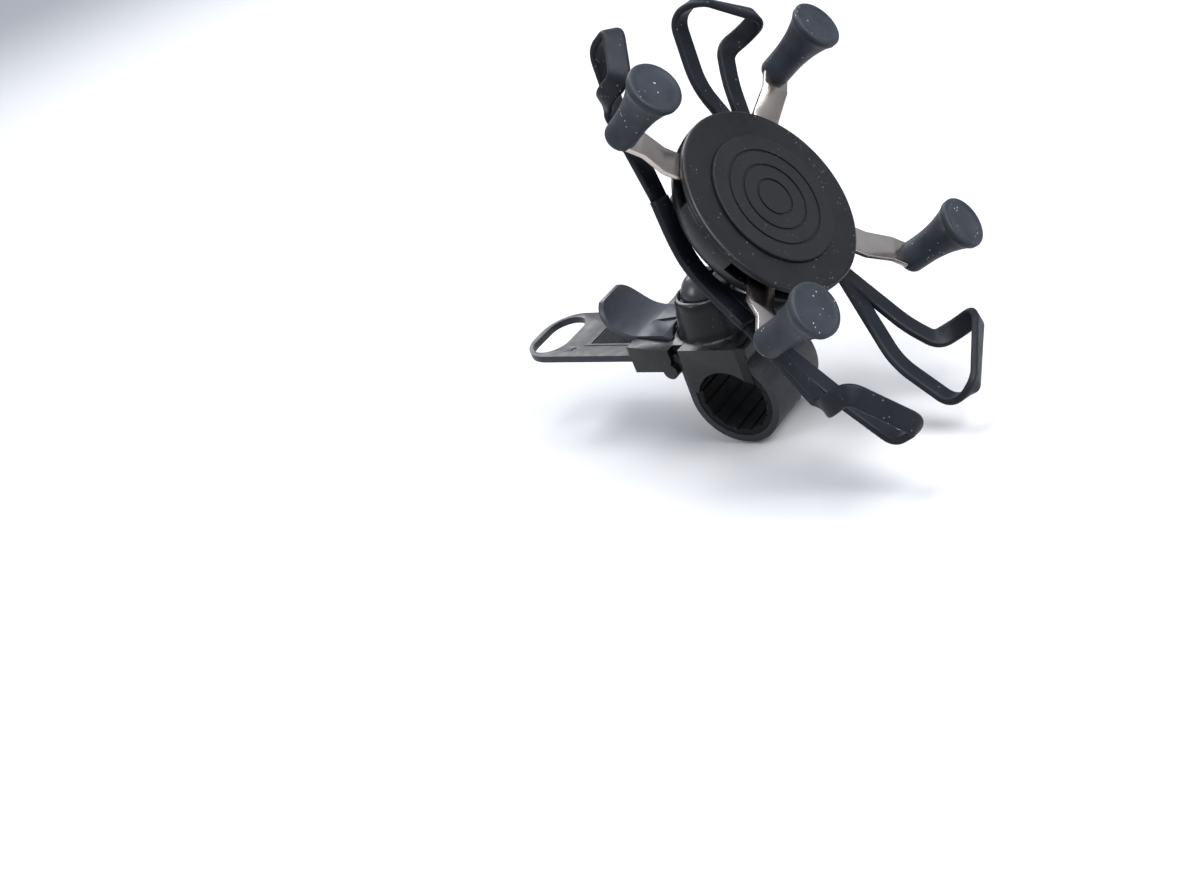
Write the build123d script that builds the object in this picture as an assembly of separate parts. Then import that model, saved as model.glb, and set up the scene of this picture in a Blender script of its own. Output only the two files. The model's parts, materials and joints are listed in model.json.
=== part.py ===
"""Handlebar phone mount: strap clamp base, ball joint and a spring-loaded four-post phone grip.

Units are millimetres.  +Z is up, the handlebar runs along X through the origin, and +Y points
forwards, the way the strap's free end leaves the clamp.  The holder's parts are drawn in the
holder's own frame (origin at the ball centre, Z out of the phone's face) and then set at the
pose that the ball joint holds.
"""
from build123d import *
import os
from math import asin, atan2, cos, degrees, radians, sin, sqrt

os.makedirs("parts", exist_ok=True)

# ---------------------------------------------------------------- driving dimensions
BAR_R = 11.1            # 22.2 mm handlebar
LINER_T = 2.1           # rubber sleeve round the bar
STRAP_T = 2.3           # strap thickness
STRAP_HALF = 13.8       # half the strap's width
GAP = 0.1               # clearance between pieces that lie on each other
RUN = 0.05              # radial clearance of a running fit
MOVE = 0.3              # clearance round a piece that moves

BALL_Y = 6.7            # the ball sits forward of the bar's axis
BALL_Z = 30.8
BALL_R = 8.0
SWIVEL = 2.7            # pose of the ball joint, degrees: about Z, about X, about the stud
TILT = 58.1
ROLL = -14.6

HOUSING_HALF = 15.7     # half the clamp housing's width
HOUSING_REAR = -10.0
HOUSING_TOP = 19.4
CUP_FRONT = 12.9        # front of the part of the housing that carries the cup
BUCKLE_REAR = 16.7      # the strap's buckle starts here, behind it a notch
BUCKLE_FRONT = 31.8
BUCKLE_FLOOR = 11.6
BUCKLE_RISE = 1.5       # the buckle's side strips rise towards the front
CHEEK_LOW = 4.0
CUP_TOP = 32.2
CUP_TOP_R = 10.3
CUP_FOOT_R = 12.3
SEAT_R = 9.35           # outside of the plastic seat that holds the ball
SADDLE_SCREWS = (-11.3, 11.3)   # places along X
PLATE_SCREWS = (-13.0, 13.0)
MOUTH_R = 8.57          # mouth of the cup

TAIL_TOP = 16.7         # upper face of the strap's free end
TAIL_END = 80.7
TAIL_CORNER = 11.5
RING_Y = 71.7           # finger ring: centre, half length along X, half width along Y
RING_HALF_X = 11.2
RING_HALF_Y = 7.0
RIB_PITCH = 1.25
RIB_DEPTH = 0.6
RIB_START = 22.0
RIB_END = 55.0
RIB_HALF = 6.2

LEVER_HALF = 9.85       # half the release lever's width
LEVER_T = 2.0
LEVER_TOP = 21.4
LEVER_BEND = 13.0       # radius of the thumb curve
LEVER_BEND_Y = 30.0     # where the thumb curve starts
LEVER_SWEEP = 80.0
LEVER_TIP_R = 9.2       # rounding of the lever's tip, seen from the front
LEVER_PIN_Y = 22.3
LEVER_PIN_Z = 18.8
LEVER_PIN_R = 0.75

HUB_Y = 7.2             # the hub's axis lies above the ball in the holder frame
HUB_R = 31.0
HUB_BACK = 26.6
HUB_SPLIT = 40.5        # joint between back shell and front cover
HUB_FACE = 42.3
PAD_FACE = 43.4
HUB_WALL = 2.0
HUB_SCREW_R = 23.5      # radius of the circle of hub screws
PIVOT_R = 4.0

ARM_ANGLE = 43.3        # arms' angle from the phone's width at rest
ARM_CLOSED = 57.7       # arms' angle with the posts 47.6 mm apart
ARM_OPEN = 30.8         # arms' angle with the posts 82.6 mm apart
ARM_HALF = 4.5
ARM_END_HALF = 4.2      # the arm narrows where it enters a post
ARM_T = 1.6
ARM_BEND_R = 36.0       # the arm rises towards the post from here
ARM_END_R = 44.0
ARM_END_Z = 41.3        # underside of the arm inside the post
ARM_A_Z = 38.8          # underside of the front arm
ARM_B_Z = 36.6          # underside of the rear arm
POST_BASE_R = 51.8      # a post's distance from the pivot at its foot and at its rim
POST_RIM_R = 53.7
POST_BASE_Z = 45.0
POST_RIM_Z = 64.1
CAP_RIM_R = 8.15
CAP_FOOT_R = 4.75
CAP_DEPTH = 5.4         # the foot's round end lies this far below the post's base point

PHONE_HALF_W = 33.5     # the phone that the tether is stretched round
PHONE_HALF_L = 69.05
PHONE_MID_Y = -0.8
PHONE_BACK = 43.7
PHONE_FRONT = 50.6
TETHER_W = 7.4
STRAND_W = 6.4
TETHER_T = 2.2
TETHER_RING_R = 21.0
TETHER_RING_Y = 5.0
TETHER_RING_Z = 20.8
# where each corner loop goes over the phone's long edge (y) and short edge (x)
TETHER_CROSSINGS = {(-1, 1): (54.5, -24.6), (1, 1): (57.2, 13.0), (-1, -1): (-51.8, -18.0), (1, -1): (-53.8, 12.0)}

LINER_R = BAR_R + LINER_T
STRAP_IN = LINER_R + GAP
STRAP_OUT = STRAP_IN + STRAP_T
STRAP_MID = STRAP_IN + STRAP_T / 2
BALL = (0, BALL_Y, BALL_Z)

HOLDER = (Location(BALL) * Location((0, 0, 0), (0, 0, SWIVEL)) * Location((0, 0, 0), (TILT, 0, 0))
          * Location((0, 0, 0), (0, 0, ROLL)))


# ---------------------------------------------------------------- helpers
def block(x0, x1, y0, y1, z0, z1):
    """Box between two corners."""
    return Pos((x0 + x1) / 2, (y0 + y1) / 2, (z0 + z1) / 2) * Box(x1 - x0, y1 - y0, z1 - z0)


def rod(radius, z0, z1, x=0.0, y=0.0):
    """Cylinder along Z."""
    return Pos(x, y, (z0 + z1) / 2) * Cylinder(radius, z1 - z0)


def cross_rod(radius, half, y, z):
    """Cylinder along X, centred on x = 0."""
    return Pos(0, y, z) * Rot(0, 90, 0) * Cylinder(radius, 2 * half)


def turned(points):
    """Solid of revolution about Z from (radius, z) points."""
    outline = Polyline(*[(r, 0, z) for r, z in points], close=True)
    return revolve(make_face(outline), Axis.Z)


def across(face, half):
    """Extrude a face drawn in the YZ plane to both sides of x = 0."""
    return extrude(face, amount=half, both=True)


def upright(edges):
    """Face from edges drawn in the XZ plane, for turning about Z."""
    return make_face([Plane.XZ * edge for edge in edges])


def side_face(points):
    """Face in the YZ plane from (y, z) points."""
    return make_face(Plane.YZ * Polyline(*points, close=True))


def sector(r_in, r_out, start, end):
    """Ring sector in the XY plane between two angles in degrees."""
    def at(radius, angle):
        return (radius * cos(radians(angle)), radius * sin(radians(angle)))
    middle = (start + end) / 2
    edges = [ThreePointArc(at(r_out, start), at(r_out, middle), at(r_out, end)),
             Line(at(r_out, end), at(r_in, end)),
             ThreePointArc(at(r_in, end), at(r_in, middle), at(r_in, start)),
             Line(at(r_in, start), at(r_out, start))]
    return make_face(edges)


def side_sector(r_in, r_out, start, end, y=0.0, z=0.0):
    """Ring sector in the YZ plane, angles from +Y towards +Z."""
    return Plane.YZ * (Pos(y, z) * sector(r_in, r_out, start, end))


def countersunk(radius, head_r, head_z, tip_z, x, y):
    """Screw along Z with its head at head_z and its tip at tip_z."""
    step = 1.6 if tip_z > head_z else -1.6
    low, high = sorted((head_z, tip_z))
    head_low, head_high = sorted((head_z, head_z + step))
    screw = rod(radius, low, high, x, y) + rod(head_r, head_low, head_high, x, y)
    socket_low, socket_high = sorted((head_z, head_z + step / 2))
    return screw - Pos(x, y, 0) * extrude(Plane.XY.offset(socket_low) * RegularPolygon(1.2, 6),
                                          amount=socket_high - socket_low)


def save(name, *pieces):
    """Write one node."""
    shape = pieces[0] if len(pieces) == 1 else Compound(children=list(pieces))
    export_step(shape, f"parts/{name}.step")


# ---------------------------------------------------------------- clamp base
def base_housing():
    """Upper moulding: cup, cheeks over the bar and the strap's buckle."""
    cup_block = block(-HOUSING_HALF, HOUSING_HALF, HOUSING_REAR, CUP_FRONT, CHEEK_LOW, HOUSING_TOP)
    corner_edges = cup_block.edges().filter_by(Axis.Z).sort_by(Axis.Y)[:2]
    cup_block = chamfer(corner_edges, 2.2)
    top_rear = cup_block.edges().filter_by(Plane.XY).group_by(Axis.Z)[-1].group_by(Axis.Y)[0]
    cup_block = fillet(top_rear, 2.0)
    bridge = block(-HOUSING_HALF + 3.4, HOUSING_HALF - 3.4, CUP_FRONT - 1, BUCKLE_REAR + 1.3,
                   TAIL_TOP + MOVE, HOUSING_TOP)
    buckle = across(side_face([(BUCKLE_REAR, BUCKLE_FLOOR + 4), (BUCKLE_REAR, HOUSING_TOP),
                               (BUCKLE_FRONT, HOUSING_TOP + BUCKLE_RISE),
                               (BUCKLE_FRONT - 0.2, BUCKLE_FLOOR), (18.5, BUCKLE_FLOOR)]), HOUSING_HALF)
    nose_y, nose_z = strap_bend()
    buckle += cross_rod(2.6, HOUSING_HALF, nose_y, nose_z)
    foot = turned([(0, HOUSING_TOP - 1), (CUP_FOOT_R + 1.6, HOUSING_TOP - 1), (CUP_FOOT_R + 1.5, HOUSING_TOP),
                   (CUP_FOOT_R + 0.55, HOUSING_TOP + 0.5), (CUP_FOOT_R + 0.1, HOUSING_TOP + 1.5),
                   (CUP_TOP_R + 0.05, CUP_TOP - 1.2), (CUP_TOP_R - 0.35, CUP_TOP - 0.35),
                   (CUP_TOP_R - 1.0, CUP_TOP), (0, CUP_TOP)])
    shell = cup_block + bridge + buckle + Pos(0, BALL_Y, 0) * foot
    shell -= cup_bore()
    shell -= across(Plane.YZ * Circle(LINER_R + GAP), STRAP_HALF + GAP)
    shell -= across(Plane.YZ * Circle(BAR_R + GAP), HOUSING_HALF + 1)
    shell -= saddle_pocket(GAP)
    for x in SADDLE_SCREWS:
        shell -= rod(1.12, 10, 18.5, x, BALL_Y)
    shell -= strap_room()
    shell -= lever_room()
    shell -= cross_rod(LEVER_PIN_R, LEVER_HALF + 3.5, LEVER_PIN_Y, LEVER_PIN_Z)
    eye_y, eye_z = anchor_eye()
    shell -= cross_rod(1.5, HOUSING_HALF - 0.6, eye_y, eye_z)
    return shell


def strap_bend():
    """Centre of the bend where the strap turns forwards over the buckle's nose."""
    return STRAP_MID + 4.0, TAIL_TOP - STRAP_T / 2 - 4.0


def anchor_eye():
    """Centre of the eye that hooks the strap to the housing."""
    reach = STRAP_IN + 2.9
    return reach * cos(radians(115)), reach * sin(radians(115))


def cup_bore():
    """Room inside the cup: seat bore, lip and mouth."""
    bore_r = SEAT_R + RUN
    room = turned([(0, 8), (bore_r, 8), (bore_r, BALL_Z + 0.55), (MOUTH_R - 0.1, BALL_Z + 0.55),
                   (MOUTH_R, CUP_TOP - 0.5), (MOUTH_R + 0.5, CUP_TOP), (MOUTH_R + 0.5, CUP_TOP + 5),
                   (0, CUP_TOP + 5)])
    under_strap = block(-15, 15, 12.1, 20, 0, TAIL_TOP + MOVE)
    return Pos(0, BALL_Y, 0) * room - under_strap


def saddle_pocket(extra):
    """Outline of the saddle plate, grown by a clearance."""
    half = STRAP_HALF - 0.4 + extra
    plate = block(-half, half, -2.6 - extra, 12.0 + extra, 0, 15.3 + extra)
    return plate


def strap_room():
    """Space that the strap takes inside the housing, with clearance."""
    half = STRAP_HALF + GAP
    nose_y, nose_z = strap_bend()
    band = across(side_sector(0.5, STRAP_OUT + GAP, 119, 200), half)
    eye_y, eye_z = anchor_eye()
    eye = cross_rod(3.15, half, eye_y, eye_z) + block(-half, half, HOUSING_REAR - 1, eye_y, 8, eye_z)
    rise = block(-half, half, STRAP_IN - GAP, STRAP_OUT + GAP, 0, nose_z)
    turn = across(side_sector(4.0 - STRAP_T / 2 - GAP, 4.0 + STRAP_T / 2 + 0.25, 89, 181, nose_y, nose_z), half)
    tail = block(-half, half, nose_y, BUCKLE_FRONT + 5, TAIL_TOP - STRAP_T - GAP, TAIL_TOP + 0.2)
    return band + eye + rise + turn + tail


def lever_room():
    """Slot in the buckle that the lever lies in."""
    half = LEVER_HALF + MOVE
    room = block(-half, half, BUCKLE_REAR + 1.2, BUCKLE_FRONT + 5, TAIL_TOP, HOUSING_TOP + 6)
    return room - rod(CUP_FOOT_R + 1.7, TAIL_TOP - 1, HOUSING_TOP + 7, 0, BALL_Y)


def saddle_plate():
    """Lower plate: closes the cup from below and seats on the liner."""
    plug = rod(SEAT_R - GAP, 8, 19.0, 0, BALL_Y) - block(-15, 15, 12.0, 20, 0, TAIL_TOP + MOVE + 0.1)
    plate = saddle_pocket(0) + plug
    plate -= across(Plane.YZ * Circle(LINER_R + GAP), STRAP_HALF + 1)
    for x in SADDLE_SCREWS:
        plate -= rod(1.15, 0, 16, x, BALL_Y)
        plate -= rod(2.05, 0, 14.2, x, BALL_Y)
    return plate


def saddle_screws():
    """Two screws that hold the saddle plate up into the housing."""
    return [countersunk(1.1, 2.0, 12.5, 18.0, x, BALL_Y) for x in SADDLE_SCREWS]


def seat_spring():
    """Pair of disc springs under the ball seat."""
    lower = turned([(5.0, 20.1), (9.0, 19.15), (9.0, 19.6), (5.0, 20.55)])
    upper = turned([(5.0, 20.7), (9.0, 21.05), (9.0, 21.45), (5.0, 21.15)])
    return [Pos(0, BALL_Y, 0) * lower, Pos(0, BALL_Y, 0) * upper]


def ball_seat():
    """Plastic seat that turns in the cup and holds the ball."""
    seat = rod(SEAT_R, 21.6, BALL_Z + 0.45)
    seat -= Pos(0, 0, BALL_Z) * Sphere(BALL_R + RUN)
    seat -= rod(3.0, 20, BALL_Z)
    for angle in (0, 60, 120):
        seat -= Rot(0, 0, angle) * block(-SEAT_R - 1, SEAT_R + 1, -0.6, 0.6, BALL_Z - 3.5, BALL_Z + 2)
    return Pos(0, BALL_Y, 0) * seat


def bar_liner():
    """Split rubber sleeve between the bar and the clamp, with ribs inside."""
    half = STRAP_HALF - 0.3
    sleeve = across(side_sector(BAR_R, LINER_R, 47, 393), half)
    for angle in range(66, 380, 24):
        groove = Rot(angle, 0, 0) * block(-half - 1, half + 1, BAR_R - 0.5, BAR_R + 0.5, -0.6, 0.6)
        sleeve -= groove
    return sleeve


def clamp_strap():
    """Strap moulded in one with its anchor eye, ribbed tail and finger ring."""
    nose_y, nose_z = strap_bend()
    half_t = STRAP_T / 2
    eye_y, eye_z = anchor_eye()
    strap = across(side_sector(STRAP_IN, STRAP_OUT, 121, 360), STRAP_HALF)
    strap += cross_rod(2.9, STRAP_HALF, eye_y, eye_z)
    strap += block(-STRAP_HALF, STRAP_HALF, STRAP_IN, STRAP_OUT, -0.5, nose_z)
    strap += across(side_sector(4.0 - half_t, 4.0 + half_t, 90, 180, nose_y, nose_z), STRAP_HALF)
    tail = block(-STRAP_HALF, STRAP_HALF, nose_y, TAIL_END, TAIL_TOP - STRAP_T, TAIL_TOP)
    tail_corners = tail.edges().filter_by(Axis.Z).sort_by(Axis.Y)[-2:]
    strap += fillet(tail_corners, TAIL_CORNER)
    strap -= cross_rod(1.6, STRAP_HALF + 1, eye_y, eye_z)
    ring = extrude(Plane.XY * SlotOverall(2 * RING_HALF_X, 2 * RING_HALF_Y), amount=20)
    strap -= Pos(0, RING_Y, 5) * ring
    count = int((RIB_END - RIB_START) / RIB_PITCH)
    for index in range(count):
        y = RIB_START + index * RIB_PITCH
        strap -= across(side_face([(y + 0.1, TAIL_TOP - RIB_DEPTH), (y + 0.5, TAIL_TOP - RIB_DEPTH),
                                   (y + 0.85, TAIL_TOP + 0.1), (y - 0.25, TAIL_TOP + 0.1)]), RIB_HALF)
    for side in (-1, 1):
        strap -= Pos(side * (RIB_HALF + 1.2), 47, TAIL_TOP) * Box(0.5, 2 * (RIB_END - 46), 0.8)
    strap -= rod(1.0, TAIL_TOP - 0.25, TAIL_TOP + 1, -9.5, 59.0)
    return strap


def anchor_pin():
    """Pin through the cheeks that the strap's eye hangs on."""
    eye_y, eye_z = anchor_eye()
    return cross_rod(1.5 - 0.02, HOUSING_HALF - 0.7, eye_y, eye_z)


# ---------------------------------------------------------------- release lever
def lever_outline():
    """Side profile of the lever: barrel end, flat and thumb curve."""
    y0, z_top, radius = LEVER_BEND_Y, LEVER_TOP, LEVER_BEND
    centre_z = z_top + radius

    def on_arc(r, angle):
        return (y0 + r * sin(radians(angle)), centre_z - r * cos(radians(angle)))
    outer = radius + LEVER_T
    root_y = BUCKLE_REAR + 1.6
    edges = [Line((root_y, HOUSING_TOP - 1), (root_y, HOUSING_TOP + 0.5)),
             Line((root_y, HOUSING_TOP + 0.5), (root_y + 2.4, z_top)),
             Line((root_y + 2.4, z_top), (y0, z_top)),
             ThreePointArc((y0, z_top), on_arc(radius, LEVER_SWEEP / 2), on_arc(radius, LEVER_SWEEP)),
             Line(on_arc(radius, LEVER_SWEEP), on_arc(outer, LEVER_SWEEP)),
             ThreePointArc(on_arc(outer, LEVER_SWEEP), on_arc(outer, LEVER_SWEEP / 2), (y0, z_top - LEVER_T)),
             Line((y0, z_top - LEVER_T), (LEVER_PIN_Y + 3.2, z_top - LEVER_T)),
             Line((LEVER_PIN_Y + 3.2, z_top - LEVER_T), (LEVER_PIN_Y + 1.2, LEVER_PIN_Z - 1.2)),
             Line((LEVER_PIN_Y + 1.2, LEVER_PIN_Z - 1.2), (LEVER_PIN_Y - 1.2, LEVER_PIN_Z - 1.2)),
             Line((LEVER_PIN_Y - 1.2, LEVER_PIN_Z - 1.2), (root_y, HOUSING_TOP - 1))]
    return make_face([Plane.YZ * edge for edge in edges])


def release_lever():
    """Thumb lever that lifts the pawl out of the strap's ribs."""
    lever = across(lever_outline(), LEVER_HALF)
    tip_z = LEVER_TOP + LEVER_BEND * (1 - cos(radians(LEVER_SWEEP))) + 1.0
    front = Plane.XZ * make_face(Polyline((-LEVER_HALF, 15), (LEVER_HALF, 15), (LEVER_HALF, tip_z),
                                          (-LEVER_HALF, tip_z), close=True))
    window = extrude(front, amount=60, both=True)
    top_edges = window.edges().filter_by(Axis.Y).group_by(Axis.Z)[-1]
    lever = lever & fillet(top_edges, LEVER_TIP_R)
    lever -= cross_rod(LEVER_PIN_R + RUN, LEVER_HALF + 1, LEVER_PIN_Y, LEVER_PIN_Z)
    lever -= rod(CUP_FOOT_R + 2.1, 10, 30, 0, BALL_Y)
    arrow = Plane.XY.offset(LEVER_TOP - 0.7) * make_face(
        Polyline((-1.9, LEVER_BEND_Y - 8.2), (1.9, LEVER_BEND_Y - 8.2), (0, LEVER_BEND_Y + 0.2), close=True))
    lever -= extrude(arrow, amount=2)
    lever -= block(-2.6, 2.6, LEVER_PIN_Y - 3, LEVER_PIN_Y + 2.1, 15, LEVER_PIN_Z + 1.75)
    lever -= pawl_blank(GAP / 2)
    return lever


def pawl_blank(extra):
    """Body of the pawl where it is let into the lever, grown by a clearance."""
    return block(-5 - extra, 5 + extra, 25.4 - extra, 27.4 + extra, 17.6, LEVER_TOP - 1.0 + extra)


def lever_pawl():
    """Steel pawl whose tooth sits between two ribs of the strap."""
    valley = RIB_START + 3 * RIB_PITCH + 0.3
    tooth = across(side_face([(valley - 0.1, TAIL_TOP - 0.3), (valley + 0.1, TAIL_TOP - 0.3),
                              (valley + 0.75, 17.8), (valley - 0.3, 17.8)]), 5)
    return pawl_blank(0) + tooth


def lever_pin():
    """Hinge pin of the lever."""
    return cross_rod(LEVER_PIN_R, LEVER_HALF + 3.4, LEVER_PIN_Y, LEVER_PIN_Z)


def wire_coil(radius, wire, pitch, turns, leg):
    """Coil spring along Z with one straight leg at each end."""
    height = pitch * turns
    path = Helix(pitch, height, radius)
    start = path @ 0
    coil = sweep(Plane(origin=start, z_dir=path % 0) * Circle(wire), path=path, is_frenet=True)
    straight = Rot(90, 0, 0) * Cylinder(wire * 0.98, leg + wire)
    first = Pos(radius, (wire - leg) / 2, 0) * straight
    last_angle = 360 * (turns - int(turns))
    last = Rot(0, 0, last_angle) * Pos(radius, (leg - wire) / 2, height) * straight
    return coil + first + last


def lever_spring():
    """Torsion spring on the lever's pin."""
    coil = wire_coil(1.05, 0.18, 0.6, 6.5, 1.1)
    return Pos(-1.95, LEVER_PIN_Y, LEVER_PIN_Z) * Rot(0, 90, 0) * coil


# ---------------------------------------------------------------- ball
def ball_skin():
    """Rubber skin of the ball, open where the stud comes out."""
    skin = Sphere(BALL_R) - Sphere(6.9) - rod(4.1, 0, BALL_R + 1)
    return skin


def ball_stud():
    """Steel ball core, neck and flange in one piece."""
    stud = Sphere(6.85) + rod(3.0, 0, 15.5)
    stud += turned([(0, 14.0), (3.0, 14.0), (4.2, 17.0), (7.0, 18.6), (7.0, 22.9), (0, 22.9)])
    stud += rod(3.2, 22, HUB_BACK)
    return stud


def mount_plate():
    """Plate riveted on the stud and screwed to the back of the hub."""
    plate = Plane.XY.offset(23.0) * make_hull(
        [Circle(9.5).edge(), *[(Pos(x, HUB_Y) * Circle(5.5)).edge() for x in PLATE_SCREWS]])
    solid = extrude(plate, amount=HUB_BACK - GAP - 23.0)
    solid = fillet(solid.edges().group_by(Axis.Z)[0], 1.0)
    solid -= rod(3.2, 20, 40)
    for x in PLATE_SCREWS:
        solid -= rod(2.1, 20, 40, x, HUB_Y)
        solid -= rod(3.6, 20, 24.7, x, HUB_Y)
    return solid


def plate_screws():
    """Two screws from the plate into the hub."""
    return [countersunk(2.0, 3.5, 23.1, 33.4, x, HUB_Y) for x in PLATE_SCREWS]


def plate_nuts():
    """Nuts of the plate screws, inside the hub."""
    nuts = []
    for x in PLATE_SCREWS:
        nut = extrude(Plane.XY.offset(HUB_BACK + HUB_WALL + 0.05) * RegularPolygon(3.5, 6), amount=3.0)
        nuts.append(Pos(x, HUB_Y, 0) * nut - rod(2.05, 20, 40, x, HUB_Y))
    return nuts


# ---------------------------------------------------------------- hub
def hub_profile(inset):
    """Half section of the hub's bowl, moved in by inset."""
    back, top = HUB_BACK + inset, HUB_SPLIT
    flat_r, edge_r = 19.0 - inset / 2, HUB_R - inset
    return upright([Line((0, back), (flat_r, back)),
                    ThreePointArc((flat_r, back), (27.2 - inset, 30.6 + inset / 2), (edge_r, top)),
                    Line((edge_r, top), (0, top)), Line((0, top), (0, back))])


def pillar_spots():
    """Places of the four pillars that take the hub's screws."""
    return [(HUB_SCREW_R * cos(radians(a)), HUB_SCREW_R * sin(radians(a))) for a in (0, 90, 180, 270)]


def hub_back_shell():
    """Bowl of the hub, with a window in its wall for each arm."""
    bowl = revolve(hub_profile(0), Axis.Z)
    hollow = revolve(hub_profile(HUB_WALL), Axis.Z)
    pillars = Part() + [rod(3.4, HUB_BACK + 1, HUB_SPLIT - 0.2, x, y) for x, y in pillar_spots()]
    shell = (bowl - hollow) + (pillars & bowl)
    side_room = degrees(asin((ARM_HALF + MOVE) / 26.0))
    low, high = ARM_OPEN - side_room, ARM_CLOSED + side_room
    for start, end in ((low, high), (180 - high, 180 - low), (180 + low, 180 + high), (360 - high, 360 - low)):
        window = sector(26.0, HUB_R + 2, start, end)
        shell -= extrude(Plane.XY.offset(ARM_B_Z - MOVE) * window, amount=8)
    for x, y in pillar_spots():
        shell -= rod(1.25, 20, 50, x, y)
        shell -= rod(2.7, 20, HUB_BACK + 4.4, x, y)
    for x in PLATE_SCREWS:
        shell -= rod(2.1, 20, 32, x, 0)
    shell += rod(5.4, HUB_BACK + 1, HUB_BACK + 3.4)
    shell -= rod(3.0, 20, 50)
    return Pos(0, HUB_Y, 0) * shell


def hub_front_cover():
    """Front cover of the hub, recessed for the face pad."""
    cover = rod(HUB_R, HUB_SPLIT + 0.05, HUB_FACE)
    cover = fillet(cover.edges().group_by(Axis.Z)[-1], 1.1)
    cover -= rod(21.6, HUB_FACE - 0.5, HUB_FACE + 1)
    cover -= rod(PIVOT_R + 0.3, 30, 50)
    for x, y in pillar_spots():
        cover -= rod(1.0, 30, HUB_FACE - 0.4, x, y)
    return Pos(0, HUB_Y, 0) * cover


def face_pad():
    """Rubber pad that the phone's back lies against, with plain concentric grooves."""
    pad = rod(21.4, HUB_FACE - 0.4, PAD_FACE)
    pad = fillet(pad.edges().group_by(Axis.Z)[-1], 0.5)
    for radius in (6.0, 11.0, 16.0):
        pad -= rod(radius + 0.45, PAD_FACE - 0.45, PAD_FACE + 1) - rod(radius - 0.45, PAD_FACE - 1, PAD_FACE + 2)
    return Pos(0, HUB_Y, 0) * pad


def hub_screws():
    """Four screws that close the hub from behind."""
    return [countersunk(1.2, 2.5, HUB_BACK + 2.7, HUB_SPLIT - 1.0, x, y + HUB_Y) for x, y in pillar_spots()]


def pivot_pin():
    """Shouldered pin that both arms turn on."""
    pin = rod(PIVOT_R, HUB_BACK + 3.5, HUB_FACE - 0.8) + rod(2.95, HUB_BACK, HUB_BACK + 4)
    return Pos(0, HUB_Y, 0) * pin


def pivot_washers():
    """Plastic washers beside and between the two arms."""
    def washer(z0, z1):
        return Pos(0, HUB_Y, 0) * (rod(8.4, z0, z1) - rod(PIVOT_R + 0.1, z0 - 1, z1 + 1))
    top_b, top_a = ARM_B_Z + ARM_T, ARM_A_Z + ARM_T
    return [washer(top_b + 0.1, ARM_A_Z - 0.1), washer(ARM_B_Z - 0.6, ARM_B_Z - 0.1)]


def arm_spring():
    """Torsion spring that pulls the posts together."""
    coil = wire_coil(6.6, 0.65, 1.55, 3.25, 8.0)
    return Pos(0, HUB_Y, HUB_BACK + HUB_WALL + 1.0) * coil


# ---------------------------------------------------------------- arms and posts
def post_axis(angle):
    """Frame at a post's foot, Z along the post, X pointing away from the pivot."""
    lean = degrees(atan2(POST_RIM_R - POST_BASE_R, POST_RIM_Z - POST_BASE_Z))
    return Pos(0, HUB_Y, 0) * Rot(0, 0, angle) * Pos(POST_BASE_R, 0, POST_BASE_Z) * Rot(0, lean, 0)


def arm_side(low_z):
    """Side outline of one half of an arm in the XZ plane: flat, rising jog, flat end."""
    lower = [(-1, low_z), (ARM_BEND_R, low_z), (ARM_END_R, ARM_END_Z), (POST_BASE_R + ARM_T, ARM_END_Z)]
    upper = [(x, z + ARM_T) for x, z in reversed(lower)]
    return make_face(Plane.XZ * Polyline(*lower, *upper, close=True))


def arm_plan(low_z):
    """Plan of the whole arm as a tall prism: wide in the middle, narrow at the ends."""
    half_plan = [(0, -ARM_HALF), (ARM_BEND_R, -ARM_HALF), (ARM_END_R + 1, -ARM_END_HALF), (60, -ARM_END_HALF)]
    other_half = [(x, -y) for x, y in reversed(half_plan)]
    one_side = Plane.XY.offset(low_z - 1) * make_face(Polyline(*half_plan, *other_half, close=True))
    return extrude(one_side, amount=10)


def grip_arm(low_z, angle):
    """Steel strip through the pivot with an upturned tab at each end."""
    half = extrude(arm_side(low_z), amount=ARM_HALF, both=True) & arm_plan(low_z)
    strip = half + Rot(0, 0, 180) * half + rod(9.0, low_z, low_z + ARM_T)
    strip -= rod(PIVOT_R + RUN, low_z - 1, low_z + ARM_T + 1)
    arm = Pos(0, HUB_Y, 0) * Rot(0, 0, angle) * strip
    for turn in (0, 180):
        arm += post_axis(angle + turn) * tab_shape(0)
    return arm


def tab_shape(extra):
    """Upturned end of an arm in its post's frame, grown by a clearance."""
    return block(-ARM_T / 2 - extra, ARM_T / 2 + extra, -2.8 - extra, 2.8 + extra,
                 ARM_END_Z - POST_BASE_Z + 0.4, 13.5 + extra)


def cap_outline(length):
    """Right-hand outline of a post cap in the XZ plane: round foot, taper and flared rim."""
    foot = CAP_FOOT_R
    side_points = [(foot, 2.0), (foot + 0.25, 6.0), (foot + 0.95, 10.5), (foot + 2.3, 15.0), (CAP_RIM_R, length - 1.3)]
    return [Line((0, -CAP_DEPTH), (1.0, -CAP_DEPTH)),
            ThreePointArc((1.0, -CAP_DEPTH), (foot * 0.78, -CAP_DEPTH + 1.35), (foot, -1.2)),
            Line((foot, -1.2), side_points[0]),
            Spline(*side_points, tangents=[(0, 1), (0.25, 1)]),
            ThreePointArc(side_points[-1], (CAP_RIM_R - 0.3, length - 0.4), (CAP_RIM_R - 1.1, length)),
            Line((CAP_RIM_R - 1.1, length), (0, length + 0.4)),
            Line((0, length + 0.4), (0, -CAP_DEPTH))]


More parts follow.
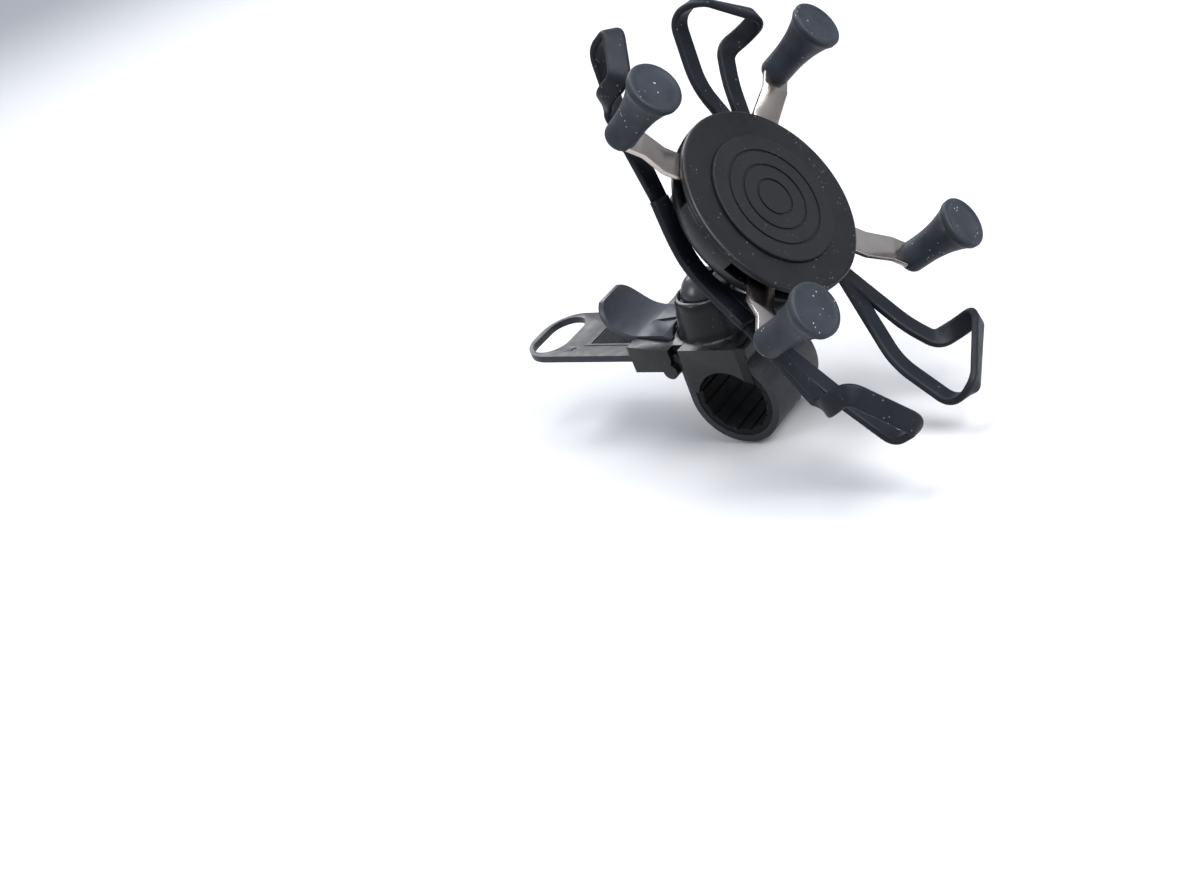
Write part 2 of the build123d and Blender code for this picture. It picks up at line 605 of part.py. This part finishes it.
def post_cap(angle):
    """Rubber post cap with a slit that the arm's end sits in."""
    length = sqrt((POST_RIM_Z - POST_BASE_Z) ** 2 + (POST_RIM_R - POST_BASE_R) ** 2)
    cap = post_axis(angle) * revolve(upright(cap_outline(length)), Axis.Z)
    slit = block(POST_BASE_R - 14, POST_BASE_R + ARM_T + GAP, -ARM_END_HALF - GAP, ARM_END_HALF + GAP,
                 ARM_END_Z - GAP, ARM_END_Z + ARM_T + GAP)
    cap -= Pos(0, HUB_Y, 0) * Rot(0, 0, angle) * slit
    cap -= post_axis(angle) * tab_shape(GAP)
    return cap


# ---------------------------------------------------------------- tether
def ribbon(start, end, flat, width):
    """Straight flat length of tether from start to end, its flat side facing the vector flat."""
    a, b = Vector(*start), Vector(*end)
    run = b - a
    face = Vector(*flat)
    face = face - run * (face.dot(run) / run.dot(run))
    frame = Plane(origin=(a + b) * 0.5, x_dir=run, z_dir=face)
    return frame.location * Box(run.length + TETHER_T * 0.8, width, TETHER_T)


def tether_corner(side_x, side_y):
    """One corner loop: fork, over the long edge, across the corner, over the short edge, back to the fork."""
    long_y, short_x = TETHER_CROSSINGS[(side_x, side_y)]
    half = TETHER_T / 2 + GAP
    edge_x = side_x * (PHONE_HALF_W + half)
    edge_y = PHONE_MID_Y + side_y * (PHONE_HALF_L + half)
    back, front = PHONE_BACK - half, PHONE_FRONT + half
    fork = tether_fork(side_x, side_y)
    long_knee = (side_x * 27.0, long_y - side_y * 9.5, 34.0)
    long_rise = (side_x * 29.5, long_y - side_y * 0.5, 37.5)
    short_knee = (short_x, edge_y - side_y * 19, 34.5)
    long_back, long_front = (edge_x, long_y, back), (edge_x, long_y, front)
    short_back, short_front = (short_x, edge_y, back), (short_x, edge_y, front)
    diagonal = Vector(*short_front) - Vector(*long_front)
    outward = (diagonal.Y, -diagonal.X, 0)
    back_facing = (0, 0, 1)
    return [ribbon(fork, long_knee, back_facing, STRAND_W),
            ribbon(long_knee, long_rise, back_facing, STRAND_W),
            ribbon(long_rise, long_back, back_facing, STRAND_W),
            ribbon(long_back, long_front, (1, 0, 0), STRAND_W),
            ribbon(long_front, short_front, back_facing, STRAND_W),
            ribbon(short_front, short_back, (0, 1, 0), STRAND_W),
            ribbon(short_back, short_knee, back_facing, STRAND_W),
            ribbon(short_knee, fork, back_facing, STRAND_W)]


def tether_fork(side_x, side_y):
    """Point behind the hub where the two strands of a corner part."""
    return (side_x * 24.0, 3.0 + side_y * 22.5, 28.0)


def tether():
    """Stretched rubber tether: a ring round the stud, two side bands and a loop over each phone corner."""
    centre = Pos(0, TETHER_RING_Y, TETHER_RING_Z)
    shape = centre * (Cylinder(TETHER_RING_R + STRAND_W / 2, 2.6) - Cylinder(TETHER_RING_R - STRAND_W / 2, 6))
    for side_x in (-1, 1):
        middle = (side_x * 23.5, TETHER_RING_Y, TETHER_RING_Z + 2.2)
        for side_y in (-1, 1):
            shape += ribbon(middle, tether_fork(side_x, side_y), (0, 0, 1), TETHER_W)
            for piece in tether_corner(side_x, side_y):
                shape += piece
    return shape


# ---------------------------------------------------------------- write the nodes
def main():
    save("base_housing", base_housing())
    save("saddle_plate", saddle_plate())
    save("saddle_screws", *saddle_screws())
    save("seat_spring", *seat_spring())
    save("ball_seat", ball_seat())
    save("bar_liner", bar_liner())
    save("clamp_strap", clamp_strap())
    save("anchor_pin", anchor_pin())
    save("release_lever", release_lever())
    save("lever_pawl", lever_pawl())
    save("lever_pin", lever_pin())
    save("lever_spring", lever_spring())
    save("ball_skin", HOLDER * ball_skin())
    save("ball_stud", HOLDER * ball_stud())
    save("mount_plate", HOLDER * mount_plate())
    save("plate_screws", *[HOLDER * screw for screw in plate_screws()])
    save("plate_nuts", *[HOLDER * nut for nut in plate_nuts()])
    save("hub_back_shell", HOLDER * hub_back_shell())
    save("hub_front_cover", HOLDER * hub_front_cover())
    save("face_pad", HOLDER * face_pad())
    save("hub_screws", *[HOLDER * screw for screw in hub_screws()])
    save("pivot_pin", HOLDER * pivot_pin())
    save("pivot_washers", *[HOLDER * washer for washer in pivot_washers()])
    save("arm_spring", HOLDER * arm_spring())
    save("arm_a", HOLDER * grip_arm(ARM_A_Z, 180 - ARM_ANGLE))
    save("arm_b", HOLDER * grip_arm(ARM_B_Z, ARM_ANGLE))
    save("cap_top_left", HOLDER * post_cap(180 - ARM_ANGLE))
    save("cap_bottom_right", HOLDER * post_cap(360 - ARM_ANGLE))
    save("cap_top_right", HOLDER * post_cap(ARM_ANGLE))
    save("cap_bottom_left", HOLDER * post_cap(180 + ARM_ANGLE))
    save("tether", HOLDER * tether())


main()
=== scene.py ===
"""Looks of the handlebar phone mount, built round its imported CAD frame.  Lengths in metres."""
import json
from math import atan2, cos, pi, radians, sin, sqrt
import bmesh
import bpy
from mathutils import Matrix, Vector


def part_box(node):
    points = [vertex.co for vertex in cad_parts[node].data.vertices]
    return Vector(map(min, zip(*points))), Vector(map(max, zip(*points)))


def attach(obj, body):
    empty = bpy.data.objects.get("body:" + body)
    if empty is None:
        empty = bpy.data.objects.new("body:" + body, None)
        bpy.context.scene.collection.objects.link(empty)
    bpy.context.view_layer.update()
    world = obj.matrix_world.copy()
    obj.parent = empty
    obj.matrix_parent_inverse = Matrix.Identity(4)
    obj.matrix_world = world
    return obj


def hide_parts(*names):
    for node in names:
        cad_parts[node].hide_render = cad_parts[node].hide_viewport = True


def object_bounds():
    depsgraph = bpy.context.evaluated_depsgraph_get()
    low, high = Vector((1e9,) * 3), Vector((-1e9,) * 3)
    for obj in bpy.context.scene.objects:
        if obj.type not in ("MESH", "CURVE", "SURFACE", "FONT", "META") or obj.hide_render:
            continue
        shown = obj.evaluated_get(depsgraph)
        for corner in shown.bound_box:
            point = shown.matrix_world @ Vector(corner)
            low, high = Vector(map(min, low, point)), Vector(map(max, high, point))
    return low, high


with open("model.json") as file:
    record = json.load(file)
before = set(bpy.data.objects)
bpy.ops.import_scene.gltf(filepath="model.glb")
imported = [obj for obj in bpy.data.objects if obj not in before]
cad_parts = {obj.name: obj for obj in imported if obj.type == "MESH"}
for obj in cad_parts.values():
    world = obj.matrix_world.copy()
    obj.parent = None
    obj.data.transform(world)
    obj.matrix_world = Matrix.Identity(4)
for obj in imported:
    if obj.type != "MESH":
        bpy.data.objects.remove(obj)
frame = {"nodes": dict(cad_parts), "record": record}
CAD_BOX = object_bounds()
MM = 0.001

# ---------------------------------------------------------------- where things are
# The holder frame has its origin in the ball's centre, X across the phone, Y along it and Z out of its face.
BALL = (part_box("ball_skin")[0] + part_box("ball_skin")[1]) / 2
SWIVEL = 2.7             # pose of the ball joint, degrees: about Z, about X, about the stud
TILT = 58.1
ROLL = -14.6
POSE = Matrix.Rotation(radians(SWIVEL), 4, "Z") @ Matrix.Rotation(radians(TILT), 4, "X") \
    @ Matrix.Rotation(radians(ROLL), 4, "Z")
HOLDER = Matrix.Translation(BALL) @ POSE @ Matrix.Scale(MM, 4)   # from holder frame in millimetres

# Lengths below are in millimetres, in the holder frame.
HUB_Y = 7.2              # hub axis above the ball
ARM_ANGLE = 43.3         # arms' angle from the phone's width, degrees
POST_BASE_R = 51.8       # a post's distance from the hub axis at its foot and at its rim
POST_RIM_R = 53.7
POST_BASE_Z = 45.0
POST_RIM_Z = 64.1
CAP_RIM_R = 8.15
CAP_FOOT_R = 4.75
CAP_DEPTH = 5.4          # the foot's round end lies this far below the post's base point
CAP_FOOT_ROUND = 2.6
CAP_RIM_ROUND = 0.9
PHONE_HALF_W = 33.5      # the phone that the tether is stretched round
PHONE_HALF_L = 69.05
PHONE_MID_Y = -0.8
PHONE_BACK = 43.7
PHONE_FRONT = 50.6
TETHER_T = 2.2
TETHER_GAP = 0.1         # clearance between tether and phone
STRAND_W = 6.4
SIDE_W = 7.4
FORK_X = 24.0            # where a side band splits into a corner's two strands
FORK_Y = 22.5            # above and below FORK_MID_Y
FORK_MID_Y = 3.0
FORK_Z = 28.0
KNEE_ROUND = 6.0
RING_Y = 5.0             # ring round the ball stud
RING_Z = 20.8
RING_R = 21.0
RING_T = 2.6
# (side, end): where a corner loop crosses the phone's long edge (Y) and its short edge (X)
CROSSINGS = {(-1, 1): (54.5, -24.6), (1, 1): (57.2, 13.0), (-1, -1): (-51.8, -18.0), (1, -1): (-53.8, 12.0)}

DUST_GREY = (0.30, 0.31, 0.33)
FLOOR_DROP = 0.001       # the floor lies this far below the part, metres
FLOOR_HALF = 6.0
AIM = Vector((0, 0, 0.04))
# name: place in metres, size in metres, power in watts
LAMPS = {
    "key": ((-0.05, -0.75, 0.85), 0.7, 18),
    "rim": ((0.55, 0.85, 0.75), 0.6, 9),
    "left": ((-0.8, 0.7, 0.6), 0.4, 4),
    "top": ((0.1, 0.1, 1.1), 0.5, 7),
}
EYE = Vector((-0.3782, -0.2919, 0.2473))
EYE_RIGHT = Vector((0.516, -0.7856, -0.3413))
EYE_FORWARD = Vector((0.6379, 0.6184, -0.4591))
LENS = 51.56


# ---------------------------------------------------------------- materials
class Nodes:
    """Small helper that lays out one material's node tree."""

    def __init__(self, name):
        self.material = bpy.data.materials.new(name)
        self.material.use_nodes = True
        self.tree = self.material.node_tree
        self.shader = self.tree.nodes["Principled BSDF"]
        self.coords = self.tree.nodes.new("ShaderNodeTexCoord")

    def add(self, kind, **values):
        node = self.tree.nodes.new(kind)
        for key, value in values.items():
            if key in node.inputs:
                node.inputs[key].default_value = value
            else:
                setattr(node, key, value)
        return node

    def link(self, source, target):
        self.tree.links.new(source, target)

    def noise(self, scale, detail=3.0, rough=0.5, stretch=(1, 1, 1)):
        mapping = self.add("ShaderNodeMapping")
        mapping.inputs["Scale"].default_value = stretch
        self.link(self.coords.outputs["Object"], mapping.inputs["Vector"])
        noise = self.add("ShaderNodeTexNoise")
        noise.inputs["Scale"].default_value = scale
        noise.inputs["Detail"].default_value = detail
        noise.inputs["Roughness"].default_value = rough
        self.link(mapping.outputs["Vector"], noise.inputs["Vector"])
        return noise.outputs["Fac"]

    def ranged(self, value, low, high, to_low, to_high):
        node = self.add("ShaderNodeMapRange")
        node.inputs["From Min"].default_value = low
        node.inputs["From Max"].default_value = high
        node.inputs["To Min"].default_value = to_low
        node.inputs["To Max"].default_value = to_high
        self.link(value, node.inputs["Value"])
        return node.outputs["Result"]

    def mixed(self, factor, first, second):
        """Blend of two colours; sockets 6 and 7 are the mix node's colour inputs."""
        node = self.add("ShaderNodeMix", data_type="RGBA")
        self.link(factor, node.inputs["Factor"])
        for index, value in ((6, first), (7, second)):
            if hasattr(value, "is_output"):
                self.link(value, node.inputs[index])
            else:
                node.inputs[index].default_value = (*value, 1)
        return node.outputs[2]

    def bump(self, height, strength, distance):
        node = self.add("ShaderNodeBump")
        node.inputs["Strength"].default_value = strength
        node.inputs["Distance"].default_value = distance
        self.link(height, node.inputs["Height"])
        return node


def specks(nodes, scale, amount):
    """Factor that is 1 on small scattered dust specks."""
    voronoi = nodes.add("ShaderNodeTexVoronoi")
    voronoi.inputs["Scale"].default_value = scale
    nodes.link(nodes.coords.outputs["Object"], voronoi.inputs["Vector"])
    spot = nodes.ranged(voronoi.outputs["Distance"], 0.11, 0.19, 1, 0)
    patch = nodes.ranged(nodes.noise(scale * 0.23, 2), 0.56, 0.60, 0, amount)
    node = nodes.add("ShaderNodeMath", operation="MULTIPLY")
    nodes.link(spot, node.inputs[0])
    nodes.link(patch, node.inputs[1])
    return node.outputs[0]


def plastic(name, color, rough, grain=2400, dust=0.25, bump=0.15, wear=1.25, shine=0.35):
    """Moulded plastic or rubber: fine grain, cloudy tone, dust specks."""
    nodes = Nodes(name)
    cloud = nodes.ranged(nodes.noise(130, 4), 0.3, 0.7, 0, 1)
    light = tuple(min(1, c * wear) for c in color)
    tone = nodes.mixed(cloud, color, light)
    spot = specks(nodes, 700, min(dust, 1))
    nodes.link(nodes.mixed(spot, tone, DUST_GREY), nodes.shader.inputs["Base Color"])
    fine = nodes.noise(grain, 2)
    nodes.link(nodes.ranged(nodes.noise(300, 3), 0.3, 0.7, rough - 0.06, rough + 0.07),
               nodes.shader.inputs["Roughness"])
    nodes.link(nodes.bump(fine, bump, 0.0001).outputs["Normal"], nodes.shader.inputs["Normal"])
    nodes.shader.inputs["Specular IOR Level"].default_value = shine
    return nodes.material


def metal(name, color, rough, brush=(1, 1, 1), grain=1500, tint=0.85, relief=0.05):
    """Steel with fine directional brushing and slight staining."""
    nodes = Nodes(name)
    streak = nodes.noise(grain, 3, 0.6, brush)
    stain = nodes.ranged(nodes.noise(90, 4), 0.35, 0.7, 0, 1)
    dark = tuple(c * tint for c in color)
    nodes.link(nodes.mixed(stain, color, dark), nodes.shader.inputs["Base Color"])
    nodes.shader.inputs["Metallic"].default_value = 1.0
    polish = nodes.ranged(streak, 0.3, 0.7, rough - 0.03, rough + 0.04)
    nodes.link(polish, nodes.shader.inputs["Roughness"])
    nodes.link(nodes.bump(streak, relief, 0.0001).outputs["Normal"], nodes.shader.inputs["Normal"])
    return nodes.material


def make_materials():
    """All materials by the record's slot name."""
    materials = {
        "housing_plastic": plastic("housing_look", (0.0045, 0.0048, 0.0055),
                                   0.30, dust=0.15, bump=0.06, shine=0.3),
        "lever_plastic": plastic("lever_look", (0.026, 0.028, 0.036),
                                 0.36, dust=0.1, bump=0.1, shine=0.35),
        "strap_plastic": plastic("strap_look", (0.013, 0.0145, 0.018),
                                 0.42, dust=0.1, bump=0.1, shine=0.3),
        "seat_plastic": plastic("seat_look", (0.006, 0.006, 0.0065), 0.5, dust=0.05, shine=0.3),
        "hub_plastic": plastic("hub_look", (0.006, 0.0064, 0.0072),
                               0.38, dust=0.3, bump=0.08, shine=0.25),
        "liner_rubber": plastic("liner_look", (0.004, 0.004, 0.0045), 0.7, dust=0.15, shine=0.2),
        "ball_rubber": plastic("ball_look", (0.020, 0.021, 0.025), 0.28, dust=0.05, bump=0.15, shine=0.5),
        "pad_rubber": plastic("pad_look", (0.007, 0.007, 0.008), 0.6, dust=0.1, shine=0.2),
        "cap_rubber": plastic("cap_look", (0.013, 0.0155, 0.0205),
                              0.5, dust=1.0, bump=0.3, wear=1.8, shine=0.2),
        "tether_rubber": plastic("tether_look", (0.0045, 0.0055, 0.0085),
                                 0.5, dust=0.4, bump=0.2, wear=1.6, shine=0.18),
        # The arm steel's brown tint is a painted reflection of the gold phone, which is not in the scene.
        "arm_steel": metal("arm_steel", (0.50, 0.45, 0.41), 0.20, grain=700, relief=0.02),
        "bright_steel": metal("bright_steel", (0.62, 0.62, 0.62), 0.28),
        "spring_steel": metal("spring_steel", (0.5, 0.5, 0.5), 0.3),
        "dark_metal": metal("dark_metal", (0.10, 0.10, 0.11), 0.4, tint=0.7),
    }
    for name, material in materials.items():
        material["slot"] = name
    return materials


# ---------------------------------------------------------------- mesh helpers
def new_object(name, mesh, material, body, nodes=()):
    """Adds a mesh as a shown piece that moves with a body and stands for CAD nodes."""
    piece = bpy.data.objects.new(name, mesh)
    bpy.context.scene.collection.objects.link(piece)
    piece.data.materials.clear()
    piece.data.materials.append(material)
    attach(piece, body)
    if nodes:
        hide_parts(*nodes)
    return piece


def mesh_from(name, verts, faces, matrix, smooth=True):
    """Mesh from lists, moved by a matrix."""
    mesh = bpy.data.meshes.new(name)
    mesh.from_pydata([tuple(matrix @ Vector(v)) for v in verts], [], faces)
    mesh.update()
    tidy = bmesh.new()
    tidy.from_mesh(mesh)
    bmesh.ops.recalc_face_normals(tidy, faces=tidy.faces)
    tidy.to_mesh(mesh)
    tidy.free()
    for polygon in mesh.polygons:
        polygon.use_smooth = smooth
    return mesh


def arc(cx, cy, radius, start, end, steps):
    """Points on a circle from start to end in degrees."""
    angles = [radians(start + (end - start) * i / steps) for i in range(steps + 1)]
    return [(cx + radius * cos(a), cy + radius * sin(a)) for a in angles]


def lathe(name, profile, matrix, segments=96):
    """Turned mesh from (radius, z) points; the ends may lie on the axis."""
    verts, faces, rows = [], [], []
    for radius, z in profile:
        if radius < 1e-6:
            rows.append([len(verts)])
            verts.append((0, 0, z))
            continue
        rows.append(list(range(len(verts), len(verts) + segments)))
        verts += [(radius * cos(2 * pi * i / segments), radius * sin(2 * pi * i / segments), z)
                  for i in range(segments)]
    for lower, upper in zip(rows, rows[1:]):
        for i in range(segments):
            j = (i + 1) % segments
            if len(lower) == 1:
                faces.append((lower[0], upper[i], upper[j]))
            elif len(upper) == 1:
                faces.append((lower[i], lower[j], upper[0]))
            else:
                faces.append((lower[i], lower[j], upper[j], upper[i]))
    return mesh_from(name, verts, faces, matrix)


def smooth_path(points, steps):
    """Catmull-Rom curve through points."""
    path = []
    for i in range(len(points) - 1):
        p0 = points[max(i - 1, 0)]
        p1, p2 = points[i], points[i + 1]
        p3 = points[min(i + 2, len(points) - 1)]
        for k in range(steps):
            t = k / steps
            path.append(0.5 * ((2 * p1) + (p2 - p0) * t + (2 * p0 - 5 * p1 + 4 * p2 - p3) * t * t
                               + (3 * p1 - p0 - 3 * p2 + p3) * t * t * t))
    path.append(points[-1])
    return path


def oval_section(width, thick, steps=5):
    """Rounded rectangle (across, up) for a band."""
    round_r = thick * 0.42
    hw, ht = width / 2 - round_r, thick / 2 - round_r
    points = []
    for cx, cy, start in ((hw, ht, 0), (-hw, ht, 90), (-hw, -ht, 180), (hw, -ht, 270)):
        points += arc(cx, cy, round_r, start, start + 90, steps)
    return points


def band(name, path, facings, width, thick, matrix):
    """Rubber band swept along a path; facings give its flat side at each point."""
    verts, faces = [], []
    count = len(oval_section(width, thick))
    for i, point in enumerate(path):
        run = (path[min(i + 1, len(path) - 1)] - path[max(i - 1, 0)]).normalized()
        up = facings[i] - run * facings[i].dot(run)
        up.normalize()
        side = run.cross(up)
        verts += [point + side * a + up * b for a, b in oval_section(width, thick)]
    for i in range(len(path) - 1):
        for k in range(count):
            a, b = i * count + k, i * count + (k + 1) % count
            faces.append((a, b, b + count, a + count))
    faces.append(tuple(range(count))[::-1])
    last = (len(path) - 1) * count
    faces.append(tuple(range(last, last + count)))
    return mesh_from(name, verts, faces, matrix)


def joined(name, meshes):
    """One mesh from several."""
    merged = bmesh.new()
    for mesh in meshes:
        merged.from_mesh(mesh)
    result = bpy.data.meshes.new(name)
    merged.to_mesh(result)
    merged.free()
    for polygon in result.polygons:
        polygon.use_smooth = True
    return result


def softened(node, width, body, material, angle=35):
    """Copy of a CAD node with rounded edges."""
    source = frame["nodes"][node]
    clean = bmesh.new()
    clean.from_mesh(source.data)
    bmesh.ops.remove_doubles(clean, verts=clean.verts, dist=1e-6)
    bmesh.ops.dissolve_limit(clean, angle_limit=radians(0.05), verts=clean.verts, edges=clean.edges)
    mesh = bpy.data.meshes.new(node + "_look")
    clean.to_mesh(mesh)
    clean.free()
    for polygon in mesh.polygons:
        polygon.use_smooth = True
    piece = new_object(node + "_look", mesh, material, body, (node,))
    bevel = piece.modifiers.new("edges", "BEVEL")
    bevel.width = width * MM
    bevel.segments = 3
    bevel.limit_method = "ANGLE"
    bevel.angle_limit = radians(angle)
    bevel.harden_normals = True
    return piece


# ---------------------------------------------------------------- pieces
def post_frame(angle):
    """Holder-frame matrix of a post: Z along the post, X away from the pivot."""
    lean = atan2(POST_RIM_R - POST_BASE_R, POST_RIM_Z - POST_BASE_Z)
    return HOLDER @ Matrix.Translation((0, HUB_Y, 0)) @ Matrix.Rotation(radians(angle), 4, "Z") \
        @ Matrix.Translation((POST_BASE_R, 0, POST_BASE_Z)) @ Matrix.Rotation(lean, 4, "Y")


def cap_profile():
    """Outline of a post cap: round foot, taper, flared rim with a thin raised lip, flat face."""
    length = sqrt((POST_RIM_Z - POST_BASE_Z) ** 2 + (POST_RIM_R - POST_BASE_R) ** 2)
    foot_x = CAP_FOOT_R - CAP_FOOT_ROUND
    foot = [(0, -CAP_DEPTH), (foot_x, -CAP_DEPTH)]
    foot += arc(foot_x, -CAP_DEPTH + CAP_FOOT_ROUND, CAP_FOOT_ROUND, -80, 0, 8)
    stations = [(CAP_FOOT_R, 1.0), (CAP_FOOT_R + 0.05, 3.5), (CAP_FOOT_R + 0.3, 6.5),
                (CAP_FOOT_R + 0.95, 10.5), (CAP_FOOT_R + 2.2, 14.8), (CAP_RIM_R - 0.1, length - 2.2)]
    side = smooth_path([Vector(station) for station in stations], 5)
    rim = arc(CAP_RIM_R - CAP_RIM_ROUND, length - 1.0, CAP_RIM_ROUND, 0, 90, 7)
    lip = [(CAP_RIM_R - 1.3, length - 0.05), (CAP_RIM_R - 1.7, length - 0.30)]
    face = [(5.0, length - 0.22), (2.5, length - 0.1), (0, length - 0.05)]
    return foot + [(p.x, p.y) for p in side] + rim + lip + face


def post_cap(node, angle, body, material):
    """Rubber cap over an arm's upturned end."""
    cap = lathe(node + "_look", cap_profile(), post_frame(angle), 96)
    return new_object(node + "_look", cap, material, body, (node,))


def tether_loop(side_x, side_y):
    """Path, facings of one corner loop from the fork and back to it."""
    long_y, short_x = CROSSINGS[(side_x, side_y)]
    half = TETHER_T / 2 + TETHER_GAP
    edge_x = side_x * (PHONE_HALF_W + half)
    edge_y = PHONE_MID_Y + side_y * (PHONE_HALF_L + half)
    back, front = PHONE_BACK - half, PHONE_FRONT + half
    fork = Vector((side_x * FORK_X, FORK_MID_Y + side_y * FORK_Y, FORK_Z))
    long_knee = Vector((side_x * 27.0, long_y - side_y * 9.5, 34.0))
    long_rise = Vector((side_x * 29.5, long_y - side_y * 0.5, 37.5))
    short_knee = Vector((short_x, edge_y - side_y * 19, 34.5))
    long_back, long_front = Vector((edge_x, long_y, back)), Vector((edge_x, long_y, front))
    short_back, short_front = Vector((short_x, edge_y, back)), Vector((short_x, edge_y, front))
    rear, front_face = Vector((0, 0, -1)), Vector((0, 0, 1))
    side, end = Vector((side_x, 0, 0)), Vector((0, side_y, 0))
    stops = [(fork, rear), (long_knee, rear), (long_rise, rear), (long_back, (rear + side)),
             (long_front, (front_face + side)), (short_front, (front_face + end)),
             (short_back, (rear + end)), (short_knee, rear), (fork, rear)]
    return stops


def rounded_stops(stops, radius, steps=8):
    """Turns corners into short curves; returns path and facings."""
    path, facings = [stops[0][0]], [stops[0][1].normalized()]
    for i in range(1, len(stops) - 1):
        before, (corner, facing), after = stops[i - 1][0], stops[i], stops[i + 1][0]
        back = (before - corner)
        ahead = (after - corner)
        reach = min(radius, back.length * 0.45, ahead.length * 0.45)
        start, end = corner + back.normalized() * reach, corner + ahead.normalized() * reach
        for k in range(steps + 1):
            t = k / steps
            path.append(start * (1 - t) ** 2 + corner * 2 * t * (1 - t) + end * t * t)
            facings.append(facing.normalized())
    path.append(stops[-1][0])
    facings.append(stops[-1][1].normalized())
    return path, facings


def tether(material):
    """The whole rubber tether as one piece."""
    meshes = []
    ring_profile = [(RING_R + a, RING_Z + b) for a, b in oval_section(STRAND_W, RING_T)]
    ring_profile.append(ring_profile[0])
    meshes.append(lathe("ring", ring_profile, HOLDER @ Matrix.Translation((0, RING_Y, 0))))
    for side_x in (-1, 1):
        middle = Vector((side_x * 23.5, RING_Y, RING_Z + 2.2))
        top = Vector((side_x * FORK_X, FORK_MID_Y + FORK_Y, FORK_Z))
        low = Vector((side_x * FORK_X, FORK_MID_Y - FORK_Y, FORK_Z))
        path = smooth_path([top, middle, low], 12)
        facings = [Vector((0, 0, 1))] * len(path)
        meshes.append(band("side", path, facings, SIDE_W, TETHER_T, HOLDER))
        for side_y in (-1, 1):
            path, facings = rounded_stops(tether_loop(side_x, side_y), KNEE_ROUND)
            meshes.append(band("loop", path, facings, STRAND_W, TETHER_T, HOLDER))
    return new_object("tether_look", joined("tether_look", meshes), material, "holder", ("tether",))


# ---------------------------------------------------------------- scene
def pale_floor():
    """Plain floor just below the part."""
    floor_z = CAD_BOX[0].z - FLOOR_DROP
    corners = [(-1, -1), (1, -1), (1, 1), (-1, 1)]
    mesh = bpy.data.meshes.new("floor")
    mesh.from_pydata([(x * FLOOR_HALF, y * FLOOR_HALF, floor_z) for x, y in corners], [], [(0, 1, 2, 3)])
    floor = bpy.data.objects.new("floor", mesh)
    bpy.context.scene.collection.objects.link(floor)
    paint = bpy.data.materials.new("floor_paint")
    paint.use_nodes = True
    shader = paint.node_tree.nodes["Principled BSDF"]
    shader.inputs["Base Color"].default_value = (0.47, 0.47, 0.48, 1)
    shader.inputs["Roughness"].default_value = 0.9
    floor.data.materials.append(paint)


def sky():
    """Soft surrounding light, grey at the horizon and bluish overhead."""
    world = bpy.data.worlds.new("studio")
    bpy.context.scene.world = world
    world.use_nodes = True
    tree = world.node_tree
    backdrop = tree.nodes["Background"]
    backdrop.inputs["Strength"].default_value = 1.0
    direction = tree.nodes.new("ShaderNodeTexCoord")
    split = tree.nodes.new("ShaderNodeSeparateXYZ")
    ramp = tree.nodes.new("ShaderNodeValToRGB")
    low, high = ramp.color_ramp.elements
    low.position = 0.0
    low.color = (0.30, 0.31, 0.33, 1)
    high.position = 0.9
    high.color = (0.85, 0.92, 1.05, 1)
    tree.links.new(direction.outputs["Generated"], split.inputs["Vector"])
    tree.links.new(split.outputs["Z"], ramp.inputs["Fac"])
    tree.links.new(ramp.outputs["Color"], backdrop.inputs["Color"])


def lamps():
    """Area lights, all turned to the part."""
    for name, (spot, size, power) in LAMPS.items():
        light = bpy.data.lights.new(name, "AREA")
        light.size = size
        light.energy = power
        lamp = bpy.data.objects.new(name, light)
        bpy.context.scene.collection.objects.link(lamp)
        lamp.location = spot
        lamp.rotation_mode = "QUATERNION"
        lamp.rotation_quaternion = (AIM - Vector(spot)).to_track_quat("-Z", "Y")


def camera():
    """Camera at the main viewing angle."""
    lens = bpy.data.cameras.new("camera")
    lens.sensor_width = 36
    lens.lens = LENS
    lens.clip_start = 0.01
    eye = bpy.data.objects.new("camera", lens)
    bpy.context.scene.collection.objects.link(eye)
    right = EYE_RIGHT.normalized()
    forward = EYE_FORWARD.normalized()
    up = right.cross(forward)
    pose = Matrix((right, up, -forward)).transposed().to_4x4()
    eye.matrix_world = Matrix.Translation(EYE) @ pose
    bpy.context.scene.camera = eye
    bpy.context.scene.view_settings.view_transform = "Standard"


def carried_over(materials):
    """Gives every CAD node that is still shown its material."""
    for item in frame["record"]["subparts"]:
        piece = frame["nodes"][item["node"]]
        piece.data.materials.clear()
        piece.data.materials.append(materials[item["material_slot"]])


def main():
    materials = make_materials()
    carried_over(materials)
    tether(materials["tether_rubber"])
    softened("base_housing", 0.45, "base", materials["housing_plastic"])
    softened("clamp_strap", 0.35, "base", materials["strap_plastic"])
    softened("release_lever", 0.35, "lever", materials["lever_plastic"])
    softened("hub_back_shell", 0.3, "holder", materials["hub_plastic"])
    posts = (
        ("cap_top_left", 180 - ARM_ANGLE, "front_arm"),
        ("cap_bottom_right", -ARM_ANGLE, "front_arm"),
        ("cap_top_right", ARM_ANGLE, "rear_arm"),
        ("cap_bottom_left", 180 + ARM_ANGLE, "rear_arm"),
    )
    for node, angle, body in posts:
        post_cap(node, angle, body, materials["cap_rubber"])
    for node, body in (("arm_a", "front_arm"), ("arm_b", "rear_arm")):
        softened(node, 0.25, body, materials["arm_steel"])
    pale_floor()
    sky()
    lamps()
    camera()


main()
